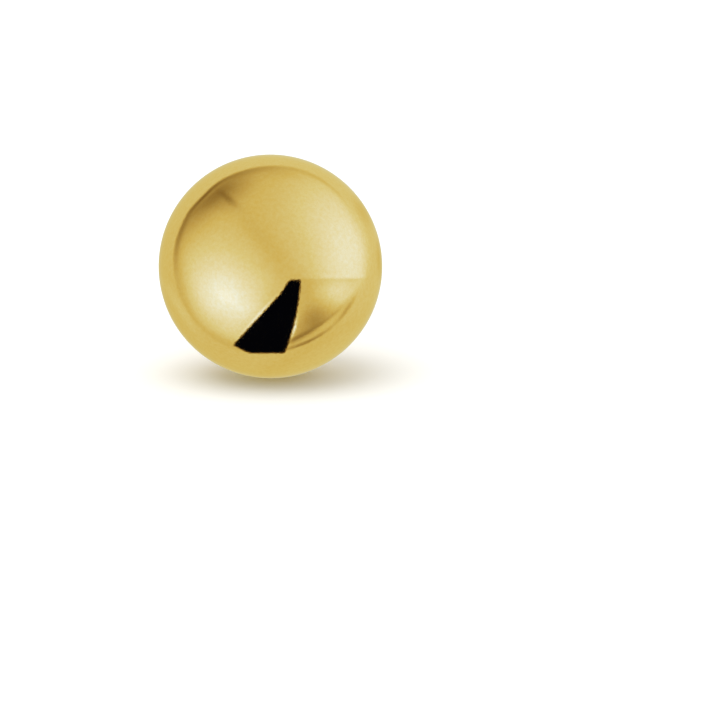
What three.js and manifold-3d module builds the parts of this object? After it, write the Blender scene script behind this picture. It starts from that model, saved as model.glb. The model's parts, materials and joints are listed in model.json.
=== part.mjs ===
// Ball stud earring with its butterfly friction back. Millimetres, +Z up.
//
// The stud is drawn in its own frame first: the ball's centre at the origin, the post along +Y and
// the back's plate across the post. The whole stud is then laid down the way a loose one lies: on
// its ball and on the lower edge of the back. The floor is Z = 0, the ball faces -Y, and the
// origin is under the middle of the part.
import * as THREE from 'three';
import { mergeVertices } from 'three/addons/utils/BufferGeometryUtils.js';
import Module from 'manifold-3d';

// Ball and post.
const BALL_RADIUS = 4.0;
const POST_RADIUS = 0.42;
const POST_END = 14.0; // from the ball's centre to the tip
const SOLDER_FILLET = 0.4; // radius of the hollow curve between ball and post
const NOTCH_FROM_TIP = 1.4; // to the middle of the notch
const NOTCH_WIDTH = 0.5;
const NOTCH_DEPTH = 0.09;
const TIP_LENGTH = 0.55;
const TIP_FLAT_RADIUS = 0.14;

// Friction back: a plate of sheet metal with two arms that curl round beside the post.
const SHEET = 0.25;
const PLATE_FRONT = 9.3; // from the ball's centre to the face that rests on the ear lobe
const PLATE_HEIGHT = 4.5;
const PLATE_CORNER = 0.9;
const DISH_RADIUS = 1.15;
const DISH_DEPTH = 0.3;
const DISH_RIM = 0.2; // flat ring of the plate that is turned with the dish
const HOLE_CLEARANCE = 0.14; // between the post and the edge of the hole
const HOLE_RADIUS = POST_RADIUS + HOLE_CLEARANCE;
const ARM_HEIGHT = 2.9;
const ARM_ROOT = 1.3; // where an arm's strip starts on the plate, from the post's axis
const CURL_RADIUS = 1.25; // middle of the sheet, at the start of the curl
const CURL_TURN = THREE.MathUtils.degToRad(415);
const CURL_CLOSING = 0.45; // loss of radius in one turn, so that the turns clear each other
const GRIP_GAP = 0.12; // between the post and each curl

// A curl passes the post after three quarters of a turn. The plate ends where the curls start.
const TURN_AT_POST = Math.PI * 1.5;
const CURL_CENTRE = POST_RADIUS + GRIP_GAP + SHEET / 2 + curlRadius(TURN_AT_POST);
const PLATE_WIDTH = 2 * CURL_CENTRE;

// Fineness of the round shapes.
const BALL_SEGMENTS = 60;
const BALL_STEPS = 30;
const FILLET_STEPS = 6;
const TIP_STEPS = 5;
const DISH_SEGMENTS = 40;
const CURL_STEPS = 36;
const CORNER_STEPS = 6;

const GOLD = 0xd8b45c;
const POLISHED_ROUGHNESS = 0.08;
const SHEET_ROUGHNESS = 0.18;

const WELD_DISTANCE = 1e-4; // vertices closer than this are one

const wasm = await Module();
wasm.setup();

// The curl's radius, to the middle of the sheet, after it has turned through an angle.
function curlRadius(turned) {
  return CURL_RADIUS - CURL_CLOSING * (turned / (2 * Math.PI));
}

// A closed geometry as a solid that can be joined and cut.
function toSolid(geometry) {
  const bare = geometry.index ? geometry.toNonIndexed() : geometry.clone();
  bare.deleteAttribute('normal');
  bare.deleteAttribute('uv');
  const merged = mergeVertices(bare, WELD_DISTANCE);
  const corners = merged.index.array;
  const triangles = [];
  for (let i = 0; i < corners.length; i += 3) {
    const [a, b, c] = [corners[i], corners[i + 1], corners[i + 2]];
    if (a !== b && b !== c && c !== a) triangles.push(a, b, c);
  }
  return new wasm.Manifold(new wasm.Mesh({
    numProp: 3,
    vertProperties: new Float32Array(merged.attributes.position.array),
    triVerts: new Uint32Array(triangles),
  }));
}

function toGeometry(solid) {
  const mesh = solid.getMesh();
  const geometry = new THREE.BufferGeometry();
  geometry.setAttribute('position', new THREE.BufferAttribute(mesh.vertProperties, 3));
  geometry.setIndex(new THREE.BufferAttribute(mesh.triVerts, 1));
  const faceted = geometry.toNonIndexed();
  faceted.computeVertexNormals();
  return faceted;
}

// Half outline of the ball, the solder fillet, the post, its notch and its tip, from the ball's
// front to the tip. X is the distance from the post's axis and Y runs along it.
function studProfile() {
  const filletCentreX = POST_RADIUS + SOLDER_FILLET;
  const filletCentreY = Math.sqrt((BALL_RADIUS + SOLDER_FILLET) ** 2 - filletCentreX ** 2);
  const filletAngle = Math.asin(filletCentreX / (BALL_RADIUS + SOLDER_FILLET));
  const points = [];
  for (let i = 0; i <= BALL_STEPS; i += 1) {
    const fromFront = (i / BALL_STEPS) * (Math.PI - filletAngle);
    points.push([BALL_RADIUS * Math.sin(fromFront), -BALL_RADIUS * Math.cos(fromFront)]);
  }
  for (let i = 1; i <= FILLET_STEPS; i += 1) {
    const sweep = (i / FILLET_STEPS) * (Math.PI / 2 - filletAngle);
    const across = SOLDER_FILLET * Math.sin(filletAngle + sweep);
    const along = SOLDER_FILLET * Math.cos(filletAngle + sweep);
    points.push([filletCentreX - across, filletCentreY - along]);
  }
  const notch = POST_END - NOTCH_FROM_TIP;
  points.push([POST_RADIUS, notch - NOTCH_WIDTH / 2]);
  points.push([POST_RADIUS - NOTCH_DEPTH, notch - NOTCH_WIDTH / 4]);
  points.push([POST_RADIUS - NOTCH_DEPTH, notch + NOTCH_WIDTH / 4]);
  points.push([POST_RADIUS, notch + NOTCH_WIDTH / 2]);
  for (let i = 0; i <= TIP_STEPS; i += 1) {
    const sweep = (i / TIP_STEPS) * (Math.PI / 2);
    const across = TIP_FLAT_RADIUS + (POST_RADIUS - TIP_FLAT_RADIUS) * Math.cos(sweep);
    points.push([across, POST_END - TIP_LENGTH + TIP_LENGTH * Math.sin(sweep)]);
  }
  points.push([0, POST_END]);
  return points.map(([across, along]) => new THREE.Vector2(across, along));
}

function roundedRectangle(width, height, corner) {
  const [x, y] = [width / 2, height / 2];
  const shape = new THREE.Shape();
  shape.moveTo(x - corner, -y);
  shape.absarc(x - corner, corner - y, corner, -Math.PI / 2, 0);
  shape.absarc(x - corner, y - corner, corner, 0, Math.PI / 2);
  shape.absarc(corner - x, y - corner, corner, Math.PI / 2, Math.PI);
  shape.absarc(corner - x, corner - y, corner, Math.PI, Math.PI * 1.5);
  shape.closePath();
  return shape;
}

// A rounded rectangle across the post, from start to end along it.
function crossPlate(width, height, corner, start, end) {
  const geometry = new THREE.ExtrudeGeometry(roundedRectangle(width, height, corner), {
    depth: end - start,
    bevelEnabled: false,
    curveSegments: CORNER_STEPS,
  });
  geometry.rotateX(Math.PI / 2);
  geometry.translate(0, end, 0);
  return toSolid(geometry);
}

// A turned solid round the post, from an outline of [distance from the axis, place along the post].
function turned(outline) {
  const points = outline.map(([across, along]) => new THREE.Vector2(across, along));
  return toSolid(new THREE.LatheGeometry(points, DISH_SEGMENTS));
}

// One arm: the strip leaves the plate, curls back and inwards, and its turn passes the post.
function curledArm(side) {
  const centreY = PLATE_FRONT + SHEET / 2 + CURL_RADIUS;
  const onCurl = (turned, offset) => {
    const radius = curlRadius(turned) + offset;
    return [CURL_CENTRE + radius * Math.sin(turned), centreY - radius * Math.cos(turned)];
  };
  const outside = [[ARM_ROOT, PLATE_FRONT]];
  const inside = [[ARM_ROOT, PLATE_FRONT + SHEET]];
  for (let i = 0; i <= CURL_STEPS; i += 1) {
    const turned = (i / CURL_STEPS) * CURL_TURN;
    outside.push(onCurl(turned, SHEET / 2));
    inside.push(onCurl(turned, -SHEET / 2));
  }
  const outline = [...outside, ...inside.reverse()].map(([x, y]) => new THREE.Vector2(side * x, y));
  const geometry = new THREE.ExtrudeGeometry(new THREE.Shape(outline), {
    depth: ARM_HEIGHT,
    bevelEnabled: false,
  });
  geometry.translate(0, 0, -ARM_HEIGHT / 2);
  return toSolid(geometry);
}

function frictionBack() {
  const plateBack = PLATE_FRONT + SHEET;
  const rim = DISH_RADIUS + DISH_RIM;
  const plate = crossPlate(PLATE_WIDTH, PLATE_HEIGHT, PLATE_CORNER, PLATE_FRONT, plateBack);
  const opening = turned([
    [0, PLATE_FRONT - SHEET],
    [DISH_RADIUS, PLATE_FRONT - SHEET],
    [DISH_RADIUS, plateBack + SHEET],
    [0, plateBack + SHEET],
  ]);
  const dish = turned([
    [HOLE_RADIUS, PLATE_FRONT + DISH_DEPTH],
    [DISH_RADIUS, PLATE_FRONT],
    [rim, PLATE_FRONT],
    [rim, plateBack],
    [DISH_RADIUS, plateBack],
    [HOLE_RADIUS, plateBack + DISH_DEPTH],
    [HOLE_RADIUS, PLATE_FRONT + DISH_DEPTH],
  ]);
  const arms = curledArm(1).add(curledArm(-1));
  return plate.subtract(opening).add(dish).add(arms);
}

function namedMesh(name, geometry, roughness) {
  const material = new THREE.MeshStandardMaterial({ color: GOLD, metalness: 1, roughness });
  const mesh = new THREE.Mesh(geometry, material);
  mesh.name = name;
  return mesh;
}

const profile = studProfile();
const stud = new THREE.Group();
const ballAndPost = new THREE.LatheGeometry(profile, BALL_SEGMENTS);
stud.add(namedMesh('ball_and_post', ballAndPost, POLISHED_ROUGHNESS));
stud.add(namedMesh('ear_back', toGeometry(frictionBack()), SHEET_ROUGHNESS));

// The stud leans until the lower back edge of the plate is level with the ball's underside.
const edgeAlong = PLATE_FRONT + SHEET;
const edgeBelow = PLATE_HEIGHT / 2;
const edgeAway = Math.hypot(edgeAlong, edgeBelow);
const lean = Math.asin(BALL_RADIUS / edgeAway) - Math.atan2(edgeBelow, edgeAlong);
const reach = Math.max(...profile.map((p) => p.y * Math.cos(lean) + p.x * Math.sin(lean)));
stud.rotation.x = -lean;
stud.position.set(0, (BALL_RADIUS - reach) / 2, BALL_RADIUS);

const earring = new THREE.Group();
earring.add(stud);
export default earring;
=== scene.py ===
"""Ball stud earring in polished yellow gold plate, with its butterfly back, on a pale floor."""

import json
import math
from collections import namedtuple

import bmesh
import bpy
from bpy.props import FloatProperty, FloatVectorProperty, IntProperty, PointerProperty
from bpy.types import Operator, Panel, PropertyGroup
from mathutils import Matrix, Vector


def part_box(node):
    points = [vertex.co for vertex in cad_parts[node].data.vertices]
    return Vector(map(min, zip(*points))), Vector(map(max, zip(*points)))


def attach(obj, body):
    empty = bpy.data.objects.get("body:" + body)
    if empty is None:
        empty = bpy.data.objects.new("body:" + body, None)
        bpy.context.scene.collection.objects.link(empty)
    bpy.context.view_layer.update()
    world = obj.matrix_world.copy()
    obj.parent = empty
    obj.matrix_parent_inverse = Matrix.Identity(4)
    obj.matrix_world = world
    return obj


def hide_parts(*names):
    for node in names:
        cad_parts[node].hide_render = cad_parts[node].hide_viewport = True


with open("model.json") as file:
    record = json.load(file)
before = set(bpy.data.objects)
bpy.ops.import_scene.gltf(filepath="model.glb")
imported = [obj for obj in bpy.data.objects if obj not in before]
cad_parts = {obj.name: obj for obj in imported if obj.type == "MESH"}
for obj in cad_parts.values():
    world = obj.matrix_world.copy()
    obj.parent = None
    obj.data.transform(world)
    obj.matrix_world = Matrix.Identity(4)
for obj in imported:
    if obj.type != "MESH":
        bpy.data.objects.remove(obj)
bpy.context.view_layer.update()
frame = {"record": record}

bl_info = {
    "name": "Ball Stud Earring",
    "version": (1, 0, 0),
    "blender": (4, 5, 0),
    "location": "View3D > Sidebar > Earring",
    "description": "Builds the polished ball and post, the butterfly back and a plain studio",
    "category": "Add Mesh",
}

MM = 0.001
SENSOR_WIDTH = 36.0
WHITE = (1, 1, 1, 1)

# Places that come from the frame. The stud's own axes are X to the right, Y along the post and Z
# across both; they lean with the stud as it lies on its ball and on the edge of its back.
STUD_LOW, STUD_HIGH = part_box("ball_and_post")
BALL_RADIUS = (STUD_HIGH.x - STUD_LOW.x) / 2
BALL_CENTRE = Vector((0, STUD_LOW.y + BALL_RADIUS, STUD_HIGH.z - BALL_RADIUS))
LOBE_SEAT = next(m for m in frame["record"]["mounts"] if m["name"] == "lobe_seat")
POST_AXIS = -Vector(LOBE_SEAT["axis"]).normalized()
PLATE_FRONT = (Vector(LOBE_SEAT["pos_m"]) - BALL_CENTRE).dot(POST_AXIS)
ACROSS = Vector((1, 0, 0))
STUD_UP = ACROSS.cross(POST_AXIS)
STUD_AXES = Matrix((ACROSS, POST_AXIS, STUD_UP)).transposed()
STUD_PLACE = Matrix.Translation(BALL_CENTRE) @ STUD_AXES.to_4x4()
LEAN = math.asin(-POST_AXIS.z)


def levels(hex_colour):
    """Red, green and blue of an sRGB hex colour such as "ffdf92", from 0 to 1."""
    return [int(hex_colour[i:i + 2], 16) / 255 for i in (0, 2, 4)]


def linear(hex_colour):
    """An sRGB hex colour as linear RGBA."""
    channels = [v / 12.92 if v <= 0.04045 else ((v + 0.055) / 1.055) ** 2.4
                for v in levels(hex_colour)]
    return channels + [1.0]


def brightness(hex_colour):
    """How bright an sRGB hex colour looks, from 0 to 1."""
    red, green, blue = levels(hex_colour)
    return 0.30 * red + 0.59 * green + 0.11 * blue


class StudSizes(PropertyGroup):
    """The ball, the solder fillet and the post."""

    post_radius: FloatProperty(
        name="Post radius", description="Half the thickness of the drawn wire",
        default=0.42 * MM, precision=5, unit="LENGTH",
    )
    post_end: FloatProperty(
        name="Post end", description="From the ball's centre to the tip of the post",
        default=14.0 * MM, precision=5, unit="LENGTH",
    )
    fillet: FloatProperty(
        name="Solder fillet", description="Radius of the hollow curve between ball and post",
        default=0.4 * MM, precision=5, unit="LENGTH",
    )
    notch_from_tip: FloatProperty(
        name="Notch from tip", description="From the tip to the middle of the notch",
        default=1.4 * MM, precision=5, unit="LENGTH",
    )
    notch_width: FloatProperty(
        name="Notch width", description="Width of the groove that the back clicks into",
        default=0.5 * MM, precision=5, unit="LENGTH",
    )
    notch_depth: FloatProperty(
        name="Notch depth", description="Depth of the groove",
        default=0.09 * MM, precision=5, unit="LENGTH",
    )
    tip_length: FloatProperty(
        name="Tip length", description="Length of the rounded end of the post",
        default=0.55 * MM, precision=5, unit="LENGTH",
    )
    tip_flat: FloatProperty(
        name="Tip flat radius", description="Radius of the small flat at the very end",
        default=0.14 * MM, precision=5, unit="LENGTH",
    )
    segments: IntProperty(
        name="Segments", description="Steps round the axis of the turned metal",
        default=224, min=32,
    )
    ball_rings: IntProperty(
        name="Ball rings", description="Steps from the front of the ball to the fillet",
        default=140, min=16,
    )


class BackSizes(PropertyGroup):
    """The butterfly back: a plate with a dished hole, and two curled arms."""

    sheet: FloatProperty(
        name="Sheet", description="Thickness of the sheet metal",
        default=0.25 * MM, precision=5, unit="LENGTH",
    )
    plate_height: FloatProperty(
        name="Plate height", description="Height of the plate across the arms",
        default=4.5 * MM, precision=5, unit="LENGTH",
    )
    plate_corner: FloatProperty(
        name="Plate corner", description="Radius of the plate's corners",
        default=0.9 * MM, precision=5, unit="LENGTH",
    )
    dish_radius: FloatProperty(
        name="Dish radius", description="Radius of the dish that guides the post into the hole",
        default=1.15 * MM, precision=5, unit="LENGTH",
    )
    dish_depth: FloatProperty(
        name="Dish depth", description="How far the hole's edge is pressed back",
        default=0.3 * MM, precision=5, unit="LENGTH",
    )
    hole_radius: FloatProperty(
        name="Hole radius", description="Radius of the hole for the post",
        default=0.56 * MM, precision=5, unit="LENGTH",
    )
    arm_height: FloatProperty(
        name="Arm height", description="Width of the strip that each arm is curled from",
        default=2.9 * MM, precision=5, unit="LENGTH",
    )
    arm_corner: FloatProperty(
        name="Arm corner", description="Radius of the corners at the free end of an arm",
        default=0.5 * MM, precision=5, unit="LENGTH",
    )
    curl_radius: FloatProperty(
        name="Curl radius", description="Radius where the curl starts, to the middle of the sheet",
        default=1.25 * MM, precision=5, unit="LENGTH",
    )
    curl_closing: FloatProperty(
        name="Curl closing", description="How much the curl's radius shrinks in one turn",
        default=0.45 * MM, precision=5, unit="LENGTH",
    )
    curl_turn: FloatProperty(
        name="Curl turn", description="Angle that each arm curls through",
        default=math.radians(415), subtype="ANGLE",
    )
    grip_gap: FloatProperty(
        name="Grip gap", description="Space between the post and each curl",
        default=0.12 * MM, precision=5, unit="LENGTH",
    )
    edge_rounding: FloatProperty(
        name="Edge rounding", description="Radius of the tumbled edges of the sheet",
        default=0.05 * MM, precision=5, unit="LENGTH",
    )


class GoldFinish(PropertyGroup):
    """Colours of the metal."""

    plate: FloatVectorProperty(
        name="Gold plate", description="Colour of the yellow gold plate where it is thinnest",
        subtype="COLOR", size=4, min=0, max=1, default=linear("ffe198"),
    )
    deep_plate: FloatVectorProperty(
        name="Deeper plate", description="Colour of the plate where it is thickest",
        subtype="COLOR", size=4, min=0, max=1, default=linear("fbd783"),
    )
    edge: FloatVectorProperty(
        name="Edge tint", description="Tint of the plate's reflection at a glancing angle",
        subtype="COLOR", size=4, min=0, max=1, default=linear("fff7d8"),
    )
    solder: FloatVectorProperty(
        name="Solder", description="Colour of the plated solder fillet, a little paler",
        subtype="COLOR", size=4, min=0, max=1, default=linear("fadc98"),
    )


class StudioSettings(PropertyGroup):
    """The floor, the lens and the lights."""

    floor_radius: FloatProperty(
        name="Floor radius", description="Radius of the plain floor",
        default=0.8, unit="LENGTH",
    )
    floor_colour: FloatVectorProperty(
        name="Floor", description="Colour of the matt white paper",
        subtype="COLOR", size=4, min=0, max=1, default=linear("f7f7f5"),
    )
    lens: FloatProperty(
        name="Lens", description="Focal length in millimetres of a 36 mm camera",
        default=200.0, unit="CAMERA",
    )
    ball_share: FloatProperty(
        name="Ball share", description="Width of the ball as a share of the picture's width",
        default=0.3105, subtype="FACTOR",
    )
    ball_left: FloatProperty(
        name="Ball left", description="How far the ball sits left of the middle, in picture widths",
        default=0.1237, subtype="FACTOR",
    )
    ball_up: FloatProperty(
        name="Ball up", description="How far the ball sits above the middle, in picture widths",
        default=0.1306, subtype="FACTOR",
    )
    sky: FloatProperty(
        name="Sky", description="Strength of the even white light around the floor",
        default=1.075,
    )
    softbox_size: FloatProperty(
        name="Softbox size", description="Width of the round softbox over the floor",
        default=0.5, unit="LENGTH",
    )
    softbox_power: FloatProperty(
        name="Softbox power", description="Power of the softbox in watts",
        default=0.9, unit="POWER",
    )


def node(tree, kind, inputs=None, **settings):
    """Adds a node. An input is a value, another node's socket, or a node for its first output."""
    made = tree.nodes.new(kind)
    for name, value in settings.items():
        setattr(made, name, value)
    for name, value in (inputs or {}).items():
        if isinstance(value, bpy.types.Node):
            value = value.outputs[0]
        if isinstance(value, bpy.types.NodeSocket):
            tree.links.new(value, made.inputs[name])
        else:
            made.inputs[name].default_value = value
    return made


def new_material(name):
    """An empty node material with its Principled shader, which is linked to the output."""
    material = bpy.data.materials.new(name)
    material.use_nodes = True
    tree = material.node_tree
    tree.nodes.clear()
    shader = node(tree, "ShaderNodeBsdfPrincipled")
    node(tree, "ShaderNodeOutputMaterial", {"Surface": shader})
    return material, tree, shader


# Real sizes of the surface patterns, in millimetres from one feature to the next.
MOP_RIPPLE = 0.125
PLATE_GRAIN = 0.14  # real plate grains are a few microns, so they are drawn as coarse as they show
POLISH_HAZE = 1.7
SOLDER_PITS = 0.11
DRAWN_LINES = 0.07  # a die leaves lines about 0.01 apart, which are drawn as coarse as they show
TUMBLED_GRAIN = 0.085
TUMBLED_SCUFFS = 0.55
PRESS_WAVES = 1.4

LINE_STRETCH = 20  # how many times the drawn lines are longer than they are apart
WAVES_OVER_GRAIN = 12.0  # how many times the press waves are higher than the grain


def stud_coordinates(tree):
    """Object coordinates turned into the stud's own axes, in millimetres, Y along the post."""
    place = node(tree, "ShaderNodeTexCoord").outputs["Object"]
    from_ball = node(tree, "ShaderNodeVectorMath", {0: place, 1: BALL_CENTRE}, operation="SUBTRACT")
    return node(
        tree, "ShaderNodeMapping",
        {"Vector": from_ball, "Rotation": (LEAN, 0, 0), "Scale": (1 / MM,) * 3},
        vector_type="POINT",
    )


def finish_gold(tree, shader, colour, deep_colour, thickness, roughness, height, depth):
    """Joins a gold's patterns to its shader: plate thickness, roughness and height.

    Depth is how far 1 of the height pattern stands out, in metres.
    """
    shader.inputs["Metallic"].default_value = 1.0
    shader.inputs["Specular Tint"].default_value = bpy.context.scene.gold_finish.edge
    # Inputs 6 and 7 and output 2 of a Mix node are its colours.
    blend = node(tree, "ShaderNodeMix", {"Factor": thickness, 6: colour, 7: deep_colour},
                 data_type="RGBA")
    tree.links.new(blend.outputs[2], shader.inputs["Base Color"])
    tree.links.new(roughness.outputs[0], shader.inputs["Roughness"])
    bump = node(tree, "ShaderNodeBump", {"Height": height, "Strength": 1.0, "Distance": depth})
    tree.links.new(bump.outputs["Normal"], shader.inputs["Normal"])


def polished_gold():
    """Yellow gold plate on a turned ball, buffed on a soft mop to a mirror.

    The eye sees a clear reflection that is only just softened. The mop leaves a faint ripple, and
    the plate's grain makes the bright parts slightly mottled.
    """
    material, tree, shader = new_material("Polished yellow gold plate")
    gold = bpy.context.scene.gold_finish
    place = stud_coordinates(tree)
    ripple = node(
        tree, "ShaderNodeTexNoise", {"Vector": place, "Scale": 1 / MOP_RIPPLE, "Detail": 3.0},
    )
    grain = node(
        tree, "ShaderNodeTexNoise",
        {"Vector": place, "Scale": 1 / PLATE_GRAIN, "Detail": 5.0, "Roughness": 0.75},
    )
    plate = node(tree, "ShaderNodeMapRange", {"Value": grain, "From Min": 0.35, "From Max": 0.65})
    haze = node(
        tree, "ShaderNodeTexNoise", {"Vector": place, "Scale": 1 / POLISH_HAZE, "Detail": 4.0},
    )
    soften = node(
        tree, "ShaderNodeMapRange",
        {"Value": haze, "From Min": 0.35, "From Max": 0.7, "To Min": 0.035, "To Max": 0.065},
    )
    finish_gold(tree, shader, gold.plate, gold.deep_plate, plate, soften, ripple,
                depth=0.0011 * MM)
    return material


def solder_gold():
    """Silver-rich solder under the plate, pickled and lightly brushed.

    The eye sees a paler, softer ring where the ball meets the post.
    """
    material, tree, shader = new_material("Plated solder fillet")
    gold = bpy.context.scene.gold_finish
    place = stud_coordinates(tree)
    pits = node(
        tree, "ShaderNodeTexNoise", {"Vector": place, "Scale": 1 / SOLDER_PITS, "Detail": 3.0},
    )
    soften = node(
        tree, "ShaderNodeMapRange",
        {"Value": pits, "From Min": 0.3, "From Max": 0.7, "To Min": 0.16, "To Max": 0.3},
    )
    finish_gold(tree, shader, gold.solder, gold.deep_plate, pits, soften, pits, depth=0.004 * MM)
    return material


def drawn_wire_gold():
    """Gold-plated wire pulled through a die.

    The eye sees fine lines along the post and a softer shine than the ball's.
    """
    material, tree, shader = new_material("Drawn gold-plated wire")
    gold = bpy.context.scene.gold_finish
    place = stud_coordinates(tree)
    stretched = node(
        tree, "ShaderNodeMapping", {"Vector": place, "Scale": (1.0, 1 / LINE_STRETCH, 1.0)},
    )
    lines = node(
        tree, "ShaderNodeTexNoise",
        {"Vector": stretched, "Scale": 1 / DRAWN_LINES, "Detail": 4.0, "Roughness": 0.7},
    )
    soften = node(
        tree, "ShaderNodeMapRange",
        {"Value": lines, "From Min": 0.3, "From Max": 0.7, "To Min": 0.12, "To Max": 0.24},
    )
    finish_gold(tree, shader, gold.plate, gold.deep_plate, lines, soften, lines, depth=0.003 * MM)
    return material


def stamped_sheet_gold():
    """Rolled sheet, stamped, curled and tumbled before plating.

    The eye sees a soft shine with a fine grain, and slow waves where the tools pressed the sheet.
    """
    material, tree, shader = new_material("Stamped gold-plated sheet")
    gold = bpy.context.scene.gold_finish
    place = stud_coordinates(tree)
    grain = node(
        tree, "ShaderNodeTexNoise", {"Vector": place, "Scale": 1 / TUMBLED_GRAIN, "Detail": 4.0},
    )
    waves = node(
        tree, "ShaderNodeTexNoise", {"Vector": place, "Scale": 1 / PRESS_WAVES, "Detail": 1.0},
    )
    scuffs = node(
        tree, "ShaderNodeTexNoise", {"Vector": place, "Scale": 1 / TUMBLED_SCUFFS, "Detail": 5.0},
    )
    height = node(tree, "ShaderNodeMath", {0: waves, 1: WAVES_OVER_GRAIN, 2: grain},
                  operation="MULTIPLY_ADD")
    soften = node(
        tree, "ShaderNodeMapRange",
        {"Value": scuffs, "From Min": 0.35, "From Max": 0.7, "To Min": 0.10, "To Max": 0.24},
    )
    finish_gold(tree, shader, gold.plate, gold.deep_plate, scuffs, soften, height,
                depth=0.0018 * MM)
    return material


ON_AXIS = 1e-6 * MM
ROUND_STEPS = 16
POST_STEPS = 13
NOTCH_STEPS = 20
NOTCH_STEEPNESS = 1.6  # height of the half sine wave that the groove's floor cuts flat


def stud_profile(sizes):
    """Half outline from the front of the ball to the tip, as (from the axis, along it, part)."""
    radius, post, fillet = BALL_RADIUS, sizes.post_radius, sizes.fillet
    if post + fillet >= radius:
        raise ValueError("The post and its fillet are wider than the ball")
    centre_across = post + fillet
    centre_along = math.sqrt((radius + fillet) ** 2 - centre_across ** 2)
    foot = math.asin(centre_across / (radius + fillet))
    outline = []
    for i in range(sizes.ball_rings + 1):
        turn = (math.pi - foot) * i / sizes.ball_rings
        outline.append((radius * math.sin(turn), -radius * math.cos(turn), "ball"))
    for i in range(1, ROUND_STEPS + 1):
        turn = foot + (math.pi / 2 - foot) * i / ROUND_STEPS
        across = centre_across - fillet * math.sin(turn)
        outline.append((across, centre_along - fillet * math.cos(turn), "solder"))
    notch = sizes.post_end - sizes.notch_from_tip
    bare_length = notch - sizes.notch_width / 2 - centre_along
    for i in range(1, POST_STEPS):
        outline.append((post, centre_along + bare_length * i / POST_STEPS, "post"))
    for i in range(NOTCH_STEPS + 1):
        share = i / NOTCH_STEPS
        depth = sizes.notch_depth * min(1.0, NOTCH_STEEPNESS * math.sin(math.pi * share))
        outline.append((post - depth, notch + sizes.notch_width * (share - 0.5), "post"))
    for i in range(ROUND_STEPS + 1):
        turn = math.pi / 2 * i / ROUND_STEPS
        across = sizes.tip_flat + (post - sizes.tip_flat) * math.cos(turn)
        outline.append((across, sizes.post_end - sizes.tip_length * (1 - math.sin(turn)), "post"))
    outline.append((0.0, sizes.post_end, "post"))
    return outline


def turned_mesh(name, outline, segments, part_slots):
    """A closed turned mesh round the post's axis. Each ring's part picks the material slot.

    A ring on the axis is a single point, where the faces have three corners.
    """
    bm = bmesh.new()
    rings = []
    for across, along, _ in outline:
        ring = []
        for k in range(segments if across > ON_AXIS else 1):
            turn = 2 * math.pi * k / segments
            ring.append(bm.verts.new((across * math.cos(turn), along, across * math.sin(turn))))
        rings.append(ring)
    for (near, far), (_, _, part) in zip(zip(rings, rings[1:]), outline[1:]):
        for k in range(segments):
            following = (k + 1) % segments
            corners = [near[k % len(near)], near[following % len(near)],
                       far[following % len(far)], far[k % len(far)]]
            face = bm.faces.new(list(dict.fromkeys(corners)))
            face.smooth = True
            face.material_index = part_slots[part]
    bmesh.ops.recalc_face_normals(bm, faces=bm.faces)
    mesh = bpy.data.meshes.new(name)
    bm.to_mesh(mesh)
    bm.free()
    return mesh


def add_piece(name, mesh, materials, replaced):
    """Places a mesh drawn in the stud's own axes, and lets it stand for its CAD node."""
    if mesh.validate():
        raise ValueError(f"The mesh of {name} has broken faces")
    mesh.transform(STUD_PLACE)
    for material in materials:
        mesh.materials.append(material)
    piece = bpy.data.objects.new(name, mesh)
    bpy.context.scene.collection.objects.link(piece)
    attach(piece, "root")
    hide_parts(replaced)
    return piece


class EARRING_OT_ball_and_post(Operator):
    """Turns the ball, its solder fillet and the notched post as one closed mesh"""

    bl_idname = "earring.ball_and_post"
    bl_label = "Ball and Post"

    def execute(self, context):
        sizes = context.scene.stud_sizes
        slots = {"ball": 0, "solder": 1, "post": 2}
        mesh = turned_mesh("ball_with_post", stud_profile(sizes), sizes.segments, slots)
        materials = [polished_gold(), solder_gold(), drawn_wire_gold()]
        add_piece("ball_with_post", mesh, materials, "ball_and_post")
        return {"FINISHED"}


ARM_ROWS = 16
CURL_STEPS = 72
CORNER_STEPS = 14
TOP_STEPS = 8
SHARP_EDGE = math.radians(50)
TURN_AT_POST = 1.5 * math.pi  # a curl passes the post after three quarters of a turn
DISH_RINGS = 9
DISH_HOLLOWNESS = 0.7  # 0 bends the dish evenly, more bends it beside the plate
PLATE_RINGS = (0.3, 0.62, 1.0)  # places of the plate's rings from the dish to the outline


def plate_outline(sizes, half_width):
    """The plate's edge, once round from the right arm's lower root, as (across, up)."""
    half_height, corner = sizes.plate_height / 2, sizes.plate_corner
    root = sizes.arm_height / 2
    right_root = [(half_width, root * (2 * j / ARM_ROWS - 1)) for j in range(ARM_ROWS + 1)]
    start = math.asin((root - half_height + corner) / corner)
    corner_arc = []
    for i in range(1, CORNER_STEPS + 1):
        turn = start + (math.pi / 2 - start) * i / CORNER_STEPS
        corner_arc.append((half_width - corner * (1 - math.cos(turn)),
                           half_height - corner * (1 - math.sin(turn))))
    flat = half_width - corner
    top = corner_arc + [(flat * (1 - 2 * i / TOP_STEPS), half_height) for i in range(1, TOP_STEPS)]
    top += [(-across, up) for across, up in reversed(corner_arc)]
    left_root = [(-across, -up) for across, up in right_root]
    bottom = [(-across, -up) for across, up in top]
    return right_root + top + left_root + bottom


def dish_offset(sizes, distance):
    """How far back the sheet is pressed at a distance from the post."""
    share = (sizes.dish_radius - distance) / (sizes.dish_radius - sizes.hole_radius)
    return sizes.dish_depth * share * share * (1 + DISH_HOLLOWNESS * (1 - share))


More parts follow.
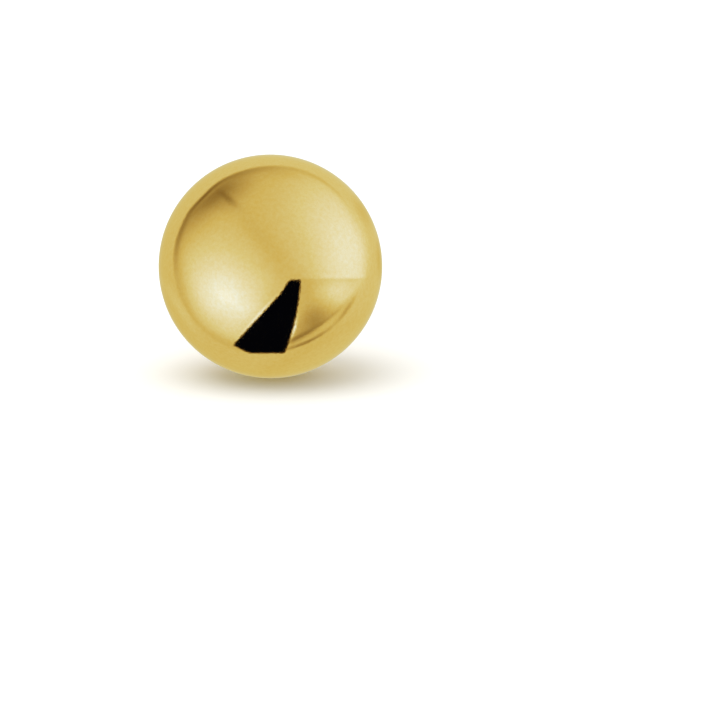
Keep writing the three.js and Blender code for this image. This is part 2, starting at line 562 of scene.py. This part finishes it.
def plate_sheet(bm, sizes, outline):
    """The plate as rings from the hole to its outline. Gives the outermost ring."""
    middle = PLATE_FRONT + sizes.sheet / 2
    rings = []
    for i in range(DISH_RINGS + 1):
        distance = sizes.hole_radius + (sizes.dish_radius - sizes.hole_radius) * i / DISH_RINGS
        along = middle + dish_offset(sizes, distance)
        ring = []
        for across, up in outline:
            scale = distance / math.hypot(across, up)
            ring.append(bm.verts.new((across * scale, along, up * scale)))
        rings.append(ring)
    for share in PLATE_RINGS:
        ring = []
        for across, up in outline:
            reach = math.hypot(across, up)
            scale = (sizes.dish_radius + (reach - sizes.dish_radius) * share) / reach
            ring.append(bm.verts.new((across * scale, middle, up * scale)))
        rings.append(ring)
    count = len(outline)
    for near, far in zip(rings, rings[1:]):
        for k in range(count):
            bm.faces.new((near[k], near[(k + 1) % count], far[(k + 1) % count], far[k]))
    return rings[-1]


def curl_radius(sizes, turned):
    """Radius of the curl, to the middle of the sheet, after it has turned through an angle."""
    return sizes.curl_radius - sizes.curl_closing * turned / (2 * math.pi)


def curl_length(sizes, turned):
    """Length of the strip from its root to that angle of the curl."""
    return turned * (sizes.curl_radius + curl_radius(sizes, turned)) / 2


def corner_cut(radius, from_end):
    """How much a rounded corner narrows the strip on each side, at a distance from its end."""
    inside = radius - min(max(from_end, 0.0), radius)
    return radius - math.sqrt(radius ** 2 - inside ** 2)


def curled_arm(bm, sizes, side, root, curl_centre):
    """Curls a strip from the plate's edge back towards the post. Side is 1 right and -1 left."""
    length = curl_length(sizes, sizes.curl_turn)
    previous = root
    for i in range(1, CURL_STEPS + 1):
        turned = sizes.curl_turn * i / CURL_STEPS
        radius = curl_radius(sizes, turned)
        cut = corner_cut(sizes.arm_corner, length - curl_length(sizes, turned))
        half_height = sizes.arm_height / 2 - cut
        across = side * (curl_centre + radius * math.sin(turned))
        along = PLATE_FRONT + sizes.sheet / 2 + sizes.curl_radius - radius * math.cos(turned)
        row = []
        for j in range(ARM_ROWS + 1):
            row.append(bm.verts.new((across, along, side * half_height * (2 * j / ARM_ROWS - 1))))
        for j in range(ARM_ROWS):
            bm.faces.new((previous[j], previous[j + 1], row[j + 1], row[j]))
        previous = row


def back_sheet(sizes, post_radius):
    """The middle of the sheet that the back is bent from: the plate and both arms."""
    if sizes.hole_radius <= post_radius:
        raise ValueError("The hole is narrower than the post")
    beside_post = curl_radius(sizes, TURN_AT_POST)
    curl_centre = post_radius + sizes.grip_gap + sizes.sheet / 2 + beside_post
    bm = bmesh.new()
    edge = plate_sheet(bm, sizes, plate_outline(sizes, curl_centre))
    left_root = len(edge) // 2
    curled_arm(bm, sizes, 1, edge[:ARM_ROWS + 1], curl_centre)
    curled_arm(bm, sizes, -1, edge[left_root:left_root + ARM_ROWS + 1], curl_centre)
    for face in bm.faces:
        face.smooth = True
    bmesh.ops.recalc_face_normals(bm, faces=bm.faces)
    mesh = bpy.data.meshes.new("butterfly_back")
    bm.to_mesh(mesh)
    bm.free()
    return mesh


class EARRING_OT_butterfly_back(Operator):
    """Bends the back from one sheet: a plate with a dished hole and an arm curled at each side"""

    bl_idname = "earring.butterfly_back"
    bl_label = "Butterfly Back"

    def execute(self, context):
        sizes = context.scene.back_sizes
        mesh = back_sheet(sizes, context.scene.stud_sizes.post_radius)
        piece = add_piece("butterfly_back", mesh, [stamped_sheet_gold()], "ear_back")
        solid = piece.modifiers.new("Sheet thickness", "SOLIDIFY")
        solid.thickness = sizes.sheet
        solid.offset = 0.0
        solid.use_even_offset = True
        rounding = piece.modifiers.new("Tumbled edges", "BEVEL")
        rounding.width = sizes.edge_rounding
        rounding.segments = 3
        rounding.limit_method = "ANGLE"
        rounding.angle_limit = SHARP_EDGE
        return {"FINISHED"}


# The light tent is a cone of white paper from the lens to the table, with a gap where the paper
# doesn't meet. It is drawn in the disc in which a mirror ball, seen along the post, shows it: the
# middle is the lens, 0.71 out is square to it, and the edge is straight behind the ball. Lengths
# are in ball radii, across to the right and up. Tones are how bright the gold looks, from 0 to 1.
Circle = namedtuple("Circle", "across up radius")
Oval = namedtuple("Oval", "across up wide tall turn")
CONE_RIM = Circle(0.0, 0.05, 0.87)
FOLD = Circle(-0.35, 0.65, 1.43)

# Where the rim is pushed in, as soft ovals of half a width and half a height, turned in degrees.
Dent = namedtuple("Dent", "across up wide tall turn depth")
RIM_DENTS = (
    Dent(-0.25, 0.82, 0.48, 0.48, 0, 0.0275),
    Dent(0.35, -0.70, 0.60, 0.60, 0, 0.058),
    Dent(-0.62, 0.62, 0.16, 0.16, 0, 0.018),
    Dent(-0.80, 0.38, 0.14, 0.14, 0, 0.0075),
    Dent(0.72, -0.34, 0.16, 0.16, 0, 0.013),
)

# The gap where the cone's two ends stay apart. A straight edge faces that many degrees from the
# right, at a distance from the middle. The gap is past one of the left edges, inside the right
# circle and past all the ends.
Edge = namedtuple("Edge", "facing distance")
GAP_LEFT = (Edge(-43, 0.235), Edge(-33, 0.21))
GAP_RIGHT = Circle(-1.8, 0.0, 2.07)
GAP_ENDS = (Edge(-90, 0.125), Edge(90, -0.773), Edge(63, -0.777))
GAP_ROUNDING = 0.03  # of the corners at the gap's ends

CONE_TONE = 0.695
RIM_TONE = 0.675
FOLD_TONE = 0.71
TABLE_TONE = 0.73
TABLE_SLOPE = (0.015, 0.015, 0)  # how much the table brightens to the right and upwards

# Where a soft change starts and where it is done: a distance past the edge of the gap or the fold,
# a height for the flap's top, and a place across for the flap's left side and the shade's end.
Softness = namedtuple("Softness", "start end")
GAP_SOFTNESS = Softness(-0.012, 0.006)
FOLD_SOFTNESS = Softness(-0.014, 0.010)
FLAP_TOP = Softness(-0.125, -0.10)
FLAP_LEFT = Softness(0.16, 0.48)
RIM_SHADE_END = Softness(-0.45, 0.10)

# The rim changes over this distance on each side of it, and over more where it is blurred.
RIM_SOFTNESS = 0.012
BLURRED_RIM_SOFTNESS = 0.05
BLURRED_RIM = Oval(0.90, 0.10, 0.35, 0.45, 0)

# The paper has the rim's tone in a band inside the left of the rim, and the fold's tone on a lip
# past the fold.
Shade = namedtuple("Shade", "inset width")
RIM_SHADE = Shade(0.01, 0.085)
FOLD_LIP = Oval(0.55, -0.55, 0.34, 0.34, 0)

# Colours of the gold from the gap to the flash. A tone shows the colour that is as bright.
GOLD_TONES = (
    "030305", "78541e", "a07d37", "be9b4a", "d1b35c",
    "dcc87e", "e7daa7", "eee8c6", "f8f3d8", "fffff0",
)

# Soft oval patches of light and shade: the tone that each adds in its middle. It has 0.37 of that
# at its half width and half height. A patch is kept to its zone. The cone is all of the paper, the
# flap is the paper right of the gap and below the flap's top, the window is the rest of it, the
# fold is what lies inside the fold's arc, and the table is what shows past the rim.
Patch = namedtuple("Patch", "zone across up wide tall turn tone")
PATCHES = (
    Patch("cone", -0.38, -0.32, 0.30, 0.26, 0, 0.13),
    Patch("cone", -0.39, -0.27, 0.13, 0.06, -38, 0.018),
    Patch("cone", -0.20, -0.40, 0.16, 0.12, 45, 0.055),
    Patch("cone", -0.49, -0.09, 0.40, 0.38, 0, 0.125),
    Patch("cone", -0.08, -0.15, 0.12, 0.10, 0, 0.018),
    Patch("cone", -0.40, -0.62, 0.18, 0.10, 0, 0.06),
    Patch("cone", -0.06, 0.22, 0.40, 0.10, -50, -0.03),
    Patch("cone", -0.38, 0.61, 0.10, 0.03, -40, -0.13),
    Patch("cone", -0.46, 0.675, 0.05, 0.03, 35, -0.05),
    Patch("cone", -0.42, 0.56, 0.13, 0.07, -10, -0.045),
    Patch("cone", -0.32, 0.66, 0.09, 0.07, 0, -0.045),
    Patch("cone", -0.22, 0.74, 0.08, 0.11, 0, -0.022),
    Patch("cone", 0.30, -0.20, 0.10, 0.13, 0, -0.035),
    Patch("window", 0.70, 0.10, 0.35, 0.62, 0, 0.18),
    Patch("window", 0.34, 0.55, 0.30, 0.35, 0, 0.06),
    Patch("window", 0.62, -0.085, 0.25, 0.02, 0, 0.015),
    Patch("flap", 0.64, -0.23, 0.25, 0.18, 0, 0.18),
    Patch("flap", 0.84, -0.13, 0.07, 0.05, 0, 0.05),
    Patch("flap", 0.50, -0.35, 0.80, 0.60, 0, -0.035),
    Patch("flap", 0.355, -0.45, 0.11, 0.12, 0, -0.08),
    Patch("flap", 0.70, -0.25, 0.07, 0.11, 0, -0.02),
    Patch("fold", 0.36, -0.54, 0.24, 0.13, 33, -0.10),
    Patch("table", -0.80, -0.38, 0.27, 0.035, -57, 0.035),
    Patch("table", 0.38, -0.70, 0.50, 0.075, 30, -0.028),
    Patch("table", 0.83, 0.49, 0.05, 0.14, 30, -0.04),
    Patch("table", 0.97, 0.06, 0.02, 0.20, 3, -0.05),
)

# Soft bands of light and shade beside an edge of the paper, each kept to an oval. The cut edges
# of the gap catch the light.
Band = namedtuple("Band", "edge inset width across up wide tall turn tone")
BANDS = (
    Band("rim", 0.000, 0.180, -0.51, 0.61, 0.34, 0.25, 40, -0.24),
    Band("rim", 0.090, 0.050, -0.42, 0.64, 0.16, 0.07, 35, -0.05),
    Band("rim", 0.012, 0.018, -0.60, 0.61, 0.22, 0.20, 45, -0.08),
    Band("rim", 0.034, 0.014, -0.54, 0.64, 0.22, 0.12, 38, 0.075),
    Band("rim", 0.020, 0.030, -0.16, 0.86, 0.26, 0.14, 10, -0.07),
    Band("rim", 0.022, 0.026, -0.82, 0.28, 0.24, 0.26, 0, -0.13),
    Band("rim", 0.060, 0.050, -0.60, -0.46, 0.26, 0.22, -35, 0.045),
    Band("rim", 0.060, 0.050, 0.10, 0.82, 0.20, 0.12, 0, -0.03),
    Band("rim", 0.030, 0.040, 0.74, 0.43, 0.16, 0.24, 20, -0.04),
    Band("rim", 0.014, 0.020, 0.46, 0.75, 0.44, 0.28, 0, -0.065),
    Band("rim", 0.014, 0.016, 0.32, -0.69, 0.24, 0.22, 0, -0.21),
    Band("rim", 0.014, 0.018, 0.69, -0.38, 0.13, 0.14, 0, -0.12),
    Band("fold", 0.010, 0.026, 0.23, -0.66, 0.20, 0.14, 30, -0.185),
    Band("fold", 0.016, 0.016, 0.64, -0.37, 0.22, 0.20, 40, -0.05),
    Band("gap_left", 0.021, 0.011, -0.09, -0.45, 0.19, 0.19, 0, 0.125),
    Band("gap_right", 0.018, 0.012, 0.21, -0.56, 0.10, 0.10, 0, 0.26),
)


def picture_width():
    """Width that the picture spans at the ball."""
    return 2 * BALL_RADIUS / bpy.context.scene.studio.ball_share


def lens_distance():
    """From the lens to the middle of the ball."""
    return picture_width() * bpy.context.scene.studio.lens / SENSOR_WIDTH


class Tent:
    """Draws the light tent's tones with nodes, at a direction's place in the mirror ball's disc."""

    def __init__(self, tree):
        self.tree = tree
        direction = node(tree, "ShaderNodeTexCoord").outputs["Generated"]
        half = node(tree, "ShaderNodeVectorMath", {0: direction, 1: -POST_AXIS}, operation="ADD")
        half = node(tree, "ShaderNodeVectorMath", {0: half}, operation="NORMALIZE")
        facing = node(
            tree, "ShaderNodeVectorMath", {0: half, 1: -POST_AXIS}, operation="DOT_PRODUCT",
        ).outputs["Value"]
        nearness = BALL_RADIUS / (2 * lens_distance())  # the lens sees the near middle larger
        stretch = node(
            tree, "ShaderNodeMath", {0: facing, 1: nearness, 2: 1.0}, operation="MULTIPLY_ADD",
        )
        seen = node(tree, "ShaderNodeVectorMath", {0: half, "Scale": stretch}, operation="SCALE")
        self.across = node(
            tree, "ShaderNodeVectorMath", {0: seen, 1: ACROSS}, operation="DOT_PRODUCT",
        ).outputs["Value"]
        self.up = node(
            tree, "ShaderNodeVectorMath", {0: seen, 1: STUD_UP}, operation="DOT_PRODUCT",
        ).outputs["Value"]
        self.place = node(tree, "ShaderNodeCombineXYZ", {"X": self.across, "Y": self.up})

    def oval(self, row):
        """1 in the middle of a row's soft oval, falling as a bell curve."""
        local = node(
            self.tree, "ShaderNodeMapping",
            {"Vector": self.place, "Location": (row.across, row.up, 0),
             "Rotation": (0, 0, math.radians(row.turn)), "Scale": (row.wide, row.tall, 1)},
            vector_type="TEXTURE",
        )
        square = node(
            self.tree, "ShaderNodeVectorMath", {0: local, 1: local}, operation="DOT_PRODUCT",
        ).outputs["Value"]
        return node(self.tree, "ShaderNodeMath", {0: 1 / math.e, 1: square}, operation="POWER")

    def band(self, edge, row):
        """1 at a row's inset from an edge, on its inner side, falling as a bell curve."""
        share = node(
            self.tree, "ShaderNodeMath", {0: edge, 1: 1 / row.width, 2: row.inset / row.width},
            operation="MULTIPLY_ADD",
        )
        square = node(self.tree, "ShaderNodeMath", {0: share, 1: share}, operation="MULTIPLY")
        return node(self.tree, "ShaderNodeMath", {0: 1 / math.e, 1: square}, operation="POWER")

    def past_edge(self, edge):
        """Distance past a straight edge."""
        facing = math.radians(edge.facing)
        normal = (math.cos(facing), math.sin(facing), 0)
        along = node(
            self.tree, "ShaderNodeVectorMath", {0: self.place, 1: normal},
            operation="DOT_PRODUCT",
        ).outputs["Value"]
        return node(self.tree, "ShaderNodeMath", {0: along, 1: edge.distance},
                    operation="SUBTRACT")

    def past_circle(self, circle):
        """Distance outside a circle, negative inside."""
        away = node(
            self.tree, "ShaderNodeVectorMath", {0: self.place, 1: (circle.across, circle.up, 0)},
            operation="DISTANCE",
        ).outputs["Value"]
        return node(self.tree, "ShaderNodeMath", {0: away, 1: circle.radius},
                    operation="SUBTRACT")


def tent_edges(tent):
    """Distances past the cone's rim, the fold across its lower right and both sides of the gap."""
    tree = tent.tree
    rim = tent.past_circle(CONE_RIM)
    for dent in RIM_DENTS:
        rim = node(tree, "ShaderNodeMath", {0: tent.oval(dent), 1: dent.depth, 2: rim},
                   operation="MULTIPLY_ADD")
    upper, lower = (tent.past_edge(edge) for edge in GAP_LEFT)
    gap_left = node(tree, "ShaderNodeMath", {0: upper, 1: lower}, operation="MAXIMUM")
    gap_right = node(tree, "ShaderNodeMath", {0: 0.0, 1: tent.past_circle(GAP_RIGHT)},
                     operation="SUBTRACT")
    fold = tent.past_circle(FOLD)
    return {"rim": rim, "fold": fold, "gap_left": gap_left, "gap_right": gap_right}


def paper_zones(tent, fold):
    """How much a place lies in each zone of the paper, and past its fold."""
    tree = tent.tree
    right_of_gap = node(
        tree, "ShaderNodeMapRange",
        {"Value": tent.across, "From Min": FLAP_LEFT.start, "From Max": FLAP_LEFT.end},
        interpolation_type="SMOOTHSTEP",
    )
    flap = node(
        tree, "ShaderNodeMapRange",
        {"Value": tent.up, "From Min": FLAP_TOP.start, "From Max": FLAP_TOP.end,
         "To Min": right_of_gap, "To Max": 0.0},
        interpolation_type="SMOOTHSTEP",
    )
    past_fold = node(
        tree, "ShaderNodeMapRange",
        {"Value": fold, "From Min": FOLD_SOFTNESS.start, "From Max": FOLD_SOFTNESS.end},
        interpolation_type="SMOOTHSTEP",
    )
    return {
        "cone": 1.0,
        "flap": flap,
        "window": node(tree, "ShaderNodeMath", {0: 1.0, 1: flap}, operation="SUBTRACT"),
        "fold": node(tree, "ShaderNodeMath", {0: 1.0, 1: past_fold}, operation="SUBTRACT"),
        "past_fold": past_fold,
    }


def add_patches(tent, tone, zones):
    """Adds to a tone the patches of these zones, by how much a place lies in each zone."""
    for patch in PATCHES:
        if patch.zone in zones:
            light = node(tent.tree, "ShaderNodeMath", {0: tent.oval(patch), 1: zones[patch.zone]},
                         operation="MULTIPLY")
            tone = node(tent.tree, "ShaderNodeMath", {0: light, 1: patch.tone, 2: tone},
                        operation="MULTIPLY_ADD")
    return tone


def paper_tone(tent, edges):
    """The tone of the paper cone, with its patches, its fold and the lines beside its edges."""
    tree = tent.tree
    zones = paper_zones(tent, edges["fold"])
    tone = add_patches(tent, CONE_TONE, zones)
    left_side = node(
        tree, "ShaderNodeMapRange",
        {"Value": tent.across, "From Min": RIM_SHADE_END.start,
         "From Max": RIM_SHADE_END.end, "To Min": 1.0, "To Max": 0.0},
        interpolation_type="SMOOTHSTEP",
    )
    shaded_rim = node(
        tree, "ShaderNodeMath", {0: tent.band(edges["rim"], RIM_SHADE), 1: left_side},
        operation="MULTIPLY",
    )
    tone = node(tree, "ShaderNodeMix", {"Factor": shaded_rim, "A": tone, "B": RIM_TONE})
    lip = node(
        tree, "ShaderNodeMath", {0: zones["past_fold"], 1: tent.oval(FOLD_LIP)},
        operation="MULTIPLY",
    )
    tone = node(tree, "ShaderNodeMix", {"Factor": lip, "A": tone, "B": FOLD_TONE})

    for band in BANDS:
        line = tent.band(edges[band.edge], band)
        line = node(tree, "ShaderNodeMath", {0: line, 1: tent.oval(band)}, operation="MULTIPLY")
        tone = node(tree, "ShaderNodeMath", {0: line, 1: band.tone, 2: tone},
                    operation="MULTIPLY_ADD")
    return tone


def tent_tone(tent):
    """The tone of the paper cone, the table beyond its rim, and its dark gap."""
    tree = tent.tree
    edges = tent_edges(tent)
    softness = node(
        tree, "ShaderNodeMath",
        {0: tent.oval(BLURRED_RIM), 1: BLURRED_RIM_SOFTNESS, 2: RIM_SOFTNESS},
        operation="MULTIPLY_ADD",
    )
    inner_side = node(tree, "ShaderNodeMath", {0: softness, 1: -1.0}, operation="MULTIPLY")
    slope = node(
        tree, "ShaderNodeVectorMath", {0: tent.place, 1: TABLE_SLOPE}, operation="DOT_PRODUCT",
    ).outputs["Value"]
    table = node(tree, "ShaderNodeMath", {0: slope, 1: TABLE_TONE}, operation="ADD")
    table = add_patches(tent, table, {"table": 1.0})
    tone = node(
        tree, "ShaderNodeMapRange",
        {"Value": edges["rim"], "From Min": inner_side, "From Max": softness,
         "To Min": paper_tone(tent, edges), "To Max": table},
        interpolation_type="SMOOTHSTEP",
    )
    inside_gap = node(
        tree, "ShaderNodeMath", {0: edges["gap_left"], 1: edges["gap_right"]}, operation="MINIMUM",
    )
    for edge in GAP_ENDS:
        inside_gap = node(
            tree, "ShaderNodeMath", {0: inside_gap, 1: tent.past_edge(edge), 2: GAP_ROUNDING},
            operation="SMOOTH_MIN",
        )
    return node(
        tree, "ShaderNodeMapRange",
        {"Value": inside_gap, "From Min": GAP_SOFTNESS.start, "From Max": GAP_SOFTNESS.end,
         "To Min": tone, "To Max": 0.0},
        interpolation_type="SMOOTHSTEP",
    )


def tent_world():
    """White light for the floor, a white backdrop, and the light tent for whatever shines."""
    scene = bpy.context.scene
    world = bpy.data.worlds.new("Light tent")
    scene.world = world
    world.use_nodes = True
    world.cycles.sampling_method = "NONE"
    tree = world.node_tree
    tree.nodes.clear()
    ramp = node(tree, "ShaderNodeValToRGB", {"Fac": tent_tone(Tent(tree))})
    stops = ramp.color_ramp.elements
    while len(stops) < len(GOLD_TONES):
        stops.new(0.5)
    for stop, colour in zip(stops, GOLD_TONES):
        stop.position = brightness(colour)
        stop.color = linear(colour)
    gold = scene.gold_finish
    mean_gold = [(thin + deep) / 2 for thin, deep in zip(gold.plate[:3], gold.deep_plate[:3])]
    paper = node(tree, "ShaderNodeVectorMath", {0: ramp, 1: mean_gold}, operation="DIVIDE")
    tent = node(tree, "ShaderNodeBackground", {"Color": paper})
    even = node(tree, "ShaderNodeBackground", {"Strength": scene.studio.sky, "Color": WHITE})
    backdrop = node(tree, "ShaderNodeBackground", {"Strength": 1.0, "Color": WHITE})
    path = node(tree, "ShaderNodeLightPath")
    plain = node(tree, "ShaderNodeMixShader", {
        0: path.outputs["Is Camera Ray"], 1: even, 2: backdrop})
    mixed = node(tree, "ShaderNodeMixShader", {0: path.outputs["Is Glossy Ray"], 1: plain, 2: tent})
    node(tree, "ShaderNodeOutputWorld", {"Surface": mixed})


def studio_floor():
    """Matt white paper under the earring. The gold doesn't mirror it: it mirrors the tent."""
    settings = bpy.context.scene.studio
    material, tree, shader = new_material("Matt white paper")
    shader.inputs["Base Color"].default_value = settings.floor_colour
    shader.inputs["Roughness"].default_value = 0.95
    bm = bmesh.new()
    bmesh.ops.create_circle(bm, cap_ends=True, segments=96, radius=settings.floor_radius)
    mesh = bpy.data.meshes.new("studio_floor")
    bm.to_mesh(mesh)
    bm.free()
    mesh.materials.append(material)
    floor = bpy.data.objects.new("studio_floor", mesh)
    bpy.context.scene.collection.objects.link(floor)
    floor.visible_glossy = False


SOFTBOX_PLACE = (-0.12, -0.10, 0.45)  # in metres, above and a little to the left and in front


def softbox():
    """One large soft light overhead, for the floor only: the tent lights the metal."""
    settings = bpy.context.scene.studio
    light = bpy.data.lights.new("overhead_softbox", "AREA")
    light.shape = "DISK"
    light.size = settings.softbox_size
    light.energy = settings.softbox_power
    lamp = bpy.data.objects.new("overhead_softbox", light)
    lamp.location = SOFTBOX_PLACE
    lamp.rotation_euler = (-lamp.location).to_track_quat("-Z", "Y").to_euler()
    lamp.visible_glossy = False
    bpy.context.scene.collection.objects.link(lamp)


def studio_camera():
    """A long lens straight in front of the ball, along the post."""
    settings = bpy.context.scene.studio
    data = bpy.data.cameras.new("studio_camera")
    data.lens = settings.lens
    data.sensor_width = SENSOR_WIDTH
    data.dof.use_dof = False
    distance = lens_distance()
    data.clip_start = distance / 10
    data.clip_end = distance * 20
    camera = bpy.data.objects.new("studio_camera", data)
    bpy.context.scene.collection.objects.link(camera)
    camera.location = BALL_CENTRE - POST_AXIS * distance
    aim = BALL_CENTRE + picture_width() * (ACROSS * settings.ball_left - STUD_UP * settings.ball_up)
    camera.rotation_mode = "QUATERNION"
    camera.rotation_quaternion = (aim - camera.location).to_track_quat("-Z", "Y")
    bpy.context.scene.camera = camera


class EARRING_OT_stage(Operator):
    """Sets the pale floor, the soft light, the light tent and the camera"""

    bl_idname = "earring.stage"
    bl_label = "Studio Stage"

    def execute(self, context):
        context.scene.view_settings.view_transform = "Standard"
        tent_world()
        studio_floor()
        softbox()
        studio_camera()
        return {"FINISHED"}


class VIEW3D_PT_earring(Panel):
    """Lists the earring's pieces and the stage"""

    bl_label = "Ball Stud Earring"
    bl_space_type = "VIEW_3D"
    bl_region_type = "UI"
    bl_category = "Earring"

    def draw(self, context):
        layout = self.layout
        for operator in OPERATORS:
            layout.operator(operator.bl_idname)
        for group in GROUPS:
            box = layout.box()
            settings = getattr(context.scene, group)
            for name in settings.bl_rna.properties.keys():
                if name not in {"rna_type", "name"}:
                    box.prop(settings, name)


OPERATORS = (EARRING_OT_ball_and_post, EARRING_OT_butterfly_back, EARRING_OT_stage)
GROUPS = {
    "stud_sizes": StudSizes,
    "back_sizes": BackSizes,
    "gold_finish": GoldFinish,
    "studio": StudioSettings,
}


def register():
    for group in GROUPS.values():
        bpy.utils.register_class(group)
    for name, group in GROUPS.items():
        setattr(bpy.types.Scene, name, PointerProperty(type=group))
    for item in (*OPERATORS, VIEW3D_PT_earring):
        bpy.utils.register_class(item)


def unregister():
    for item in reversed((*OPERATORS, VIEW3D_PT_earring)):
        bpy.utils.unregister_class(item)
    for name, group in reversed(GROUPS.items()):
        delattr(bpy.types.Scene, name)
        bpy.utils.unregister_class(group)


def main():
    register()
    bpy.ops.earring.ball_and_post()
    bpy.ops.earring.butterfly_back()
    bpy.ops.earring.stage()


if __name__ == "__main__":
    main()
